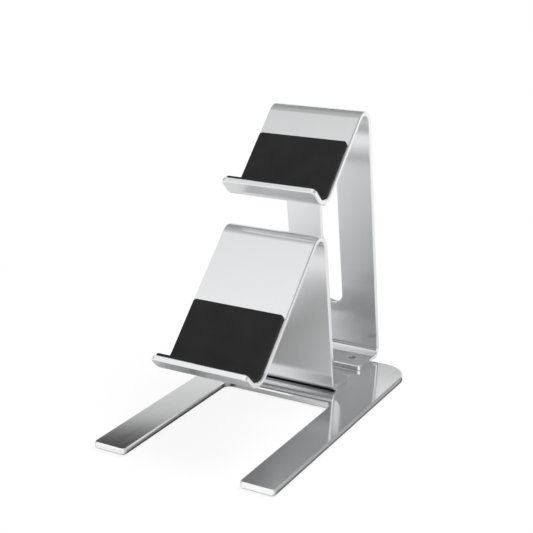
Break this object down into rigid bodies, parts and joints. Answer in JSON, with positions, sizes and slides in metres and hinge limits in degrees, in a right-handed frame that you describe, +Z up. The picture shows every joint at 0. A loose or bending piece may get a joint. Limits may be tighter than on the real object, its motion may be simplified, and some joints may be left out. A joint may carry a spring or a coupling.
{
  "type": "game controller stand",
  "caption": "Brushed aluminium desk stand with a U-shaped base and two folded sheet brackets that hook a game controller each, one above the other",
  "frame": {"origin": "On the desk, in the middle of the stand's footprint", "axes": "+Z up, +Y towards the back of the stand, -Y is the front where the legs end, +X to the right seen from the front"},
  "size_m": [0.09, 0.151, 0.1346],
  "materials": {
    "plate_aluminium": "brushed",
    "bracket_aluminium": "brushed",
    "liner_silicone": "matt",
    "foot_silicone": "matt",
    "screw_steel": "satin"
  },
  "bodies": {
    "root": {"base_plate": "plate_aluminium", "rear_bracket": "bracket_aluminium", "front_bracket": "bracket_aluminium", "upper_hook_liner": "liner_silicone", "lower_hook_liner": "liner_silicone", "front_left_foot": "foot_silicone", "front_right_foot": "foot_silicone", "rear_left_foot": "foot_silicone", "rear_right_foot": "foot_silicone", "rear_left_screw": "screw_steel", "rear_right_screw": "screw_steel", "front_left_screw": "screw_steel", "front_right_screw": "screw_steel"}
  },
  "joints": []
}
